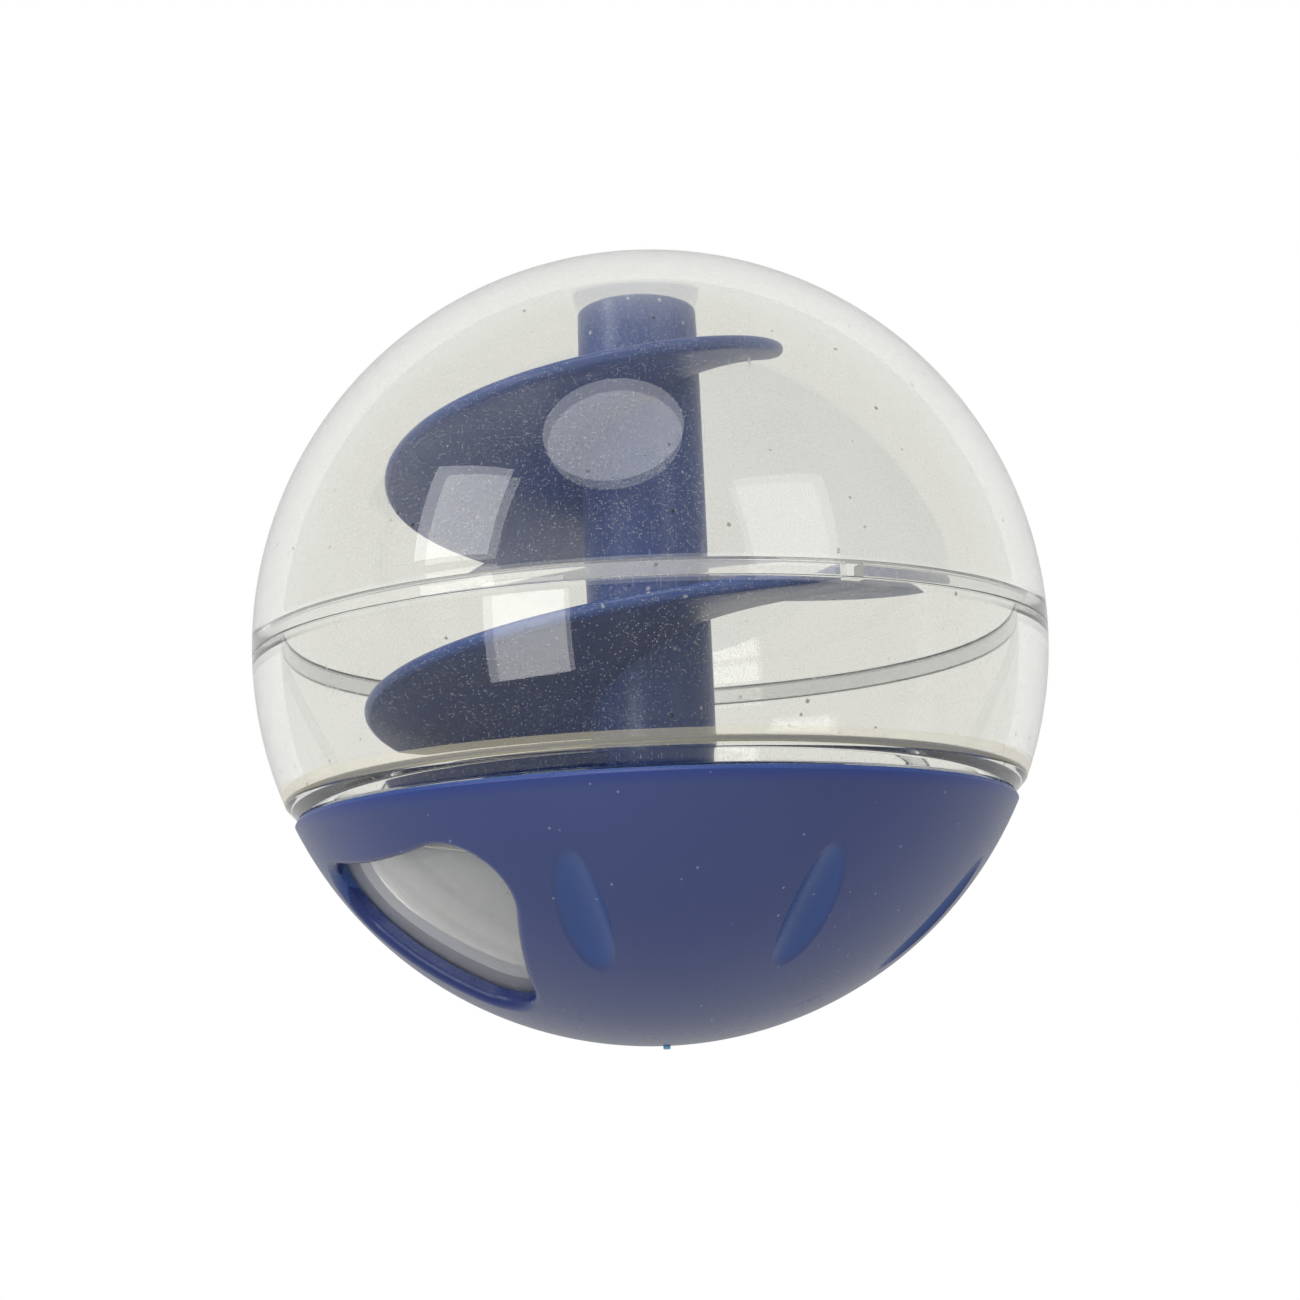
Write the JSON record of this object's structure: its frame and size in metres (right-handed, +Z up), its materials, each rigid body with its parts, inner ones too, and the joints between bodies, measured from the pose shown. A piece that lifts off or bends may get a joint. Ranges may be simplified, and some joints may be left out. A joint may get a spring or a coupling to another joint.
{
  "type": "treat dispensing ball",
  "caption": "Clear ball toy with a blue spiral ramp inside, a lift-off dome and a blue turning cap whose opening lets treats out.",
  "frame": {"origin": "centre of the ball, on the axis of the post and 0.6 mm above the plane of the upper seam", "axes": "+Z up along the post, from the cap's pole to the dome's pole; the treat opening is towards -X and -Y"},
  "size_m": [0.11, 0.11, 0.1105],
  "materials": {
    "clear": "clear, polished",
    "cap_blue": "satin gloss",
    "ramp_blue": "satin"
  },
  "bodies": {
    "shell": {"lower_shell": "clear"},
    "ramp": {"spiral_ramp": "ramp_blue"},
    "dome": {"upper_dome": "clear"},
    "cap": {"turning_cap": "cap_blue"}
  },
  "joints": [
    {"name": "cap_turn", "type": "hinge", "parent": "shell", "child": "cap", "pos_m": [0, 0, 0], "axis": [0, 0, 1], "continuous": true},
    {"name": "ramp_lift", "type": "slide", "parent": "shell", "child": "ramp", "axis": [0, 0, 1], "range_m": [0, 0.1]},
    {"name": "dome_lift", "type": "slide", "parent": "ramp", "child": "dome", "axis": [0, 0, 1], "range_m": [0, 0.06]}
  ]
}
